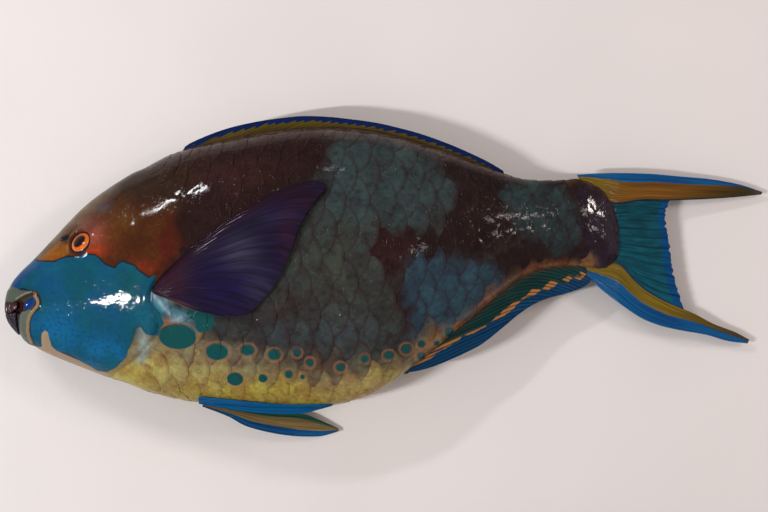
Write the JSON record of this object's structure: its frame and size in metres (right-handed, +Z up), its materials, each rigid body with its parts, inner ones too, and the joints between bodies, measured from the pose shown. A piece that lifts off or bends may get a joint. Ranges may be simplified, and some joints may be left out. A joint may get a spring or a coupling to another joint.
{
  "type": "caught parrotfish lying on its side",
  "caption": "Life-size parrotfish lying on its right side, left flank up, with folded dorsal fin, swept pectoral fin, beak and long-lobed tail.",
  "frame": {"origin": "on the floor under the middle of the fish's whole outline", "axes": "+X from the snout to the tail, +Y from the belly to the back, +Z up from the floor to the left flank"},
  "size_m": [0.4802, 0.2032, 0.0742],
  "materials": {
    "skin": "wet scaly skin, teal head, maroon back, yellow belly with green spots",
    "beak": "smooth dark wine-coloured tooth plates",
    "eye": "clear wet eye with an orange iris",
    "blue_fin": "wet fin skin over fine rays, teal and blue",
    "tail_lobe": "wet ochre fin skin with blue margins",
    "violet_fin": "wet dark violet fin skin over fine rays"
  },
  "bodies": {
    "root": {"head": "skin", "lower_jaw": "skin", "gill_cover_left": "skin", "gill_cover_right": "skin", "trunk": "skin", "tail_stalk": "skin", "beak_upper": "beak", "beak_lower": "beak", "eye_left": "eye", "eye_right": "eye", "dorsal_fin": "blue_fin", "anal_fin": "blue_fin", "caudal_fin_upper_lobe": "tail_lobe", "caudal_fin_lower_lobe": "tail_lobe", "caudal_fin_web": "blue_fin", "pectoral_fin_left": "violet_fin", "pectoral_fin_right": "violet_fin", "pelvic_fin_left": "blue_fin", "pelvic_fin_right": "blue_fin"}
  },
  "joints": []
}
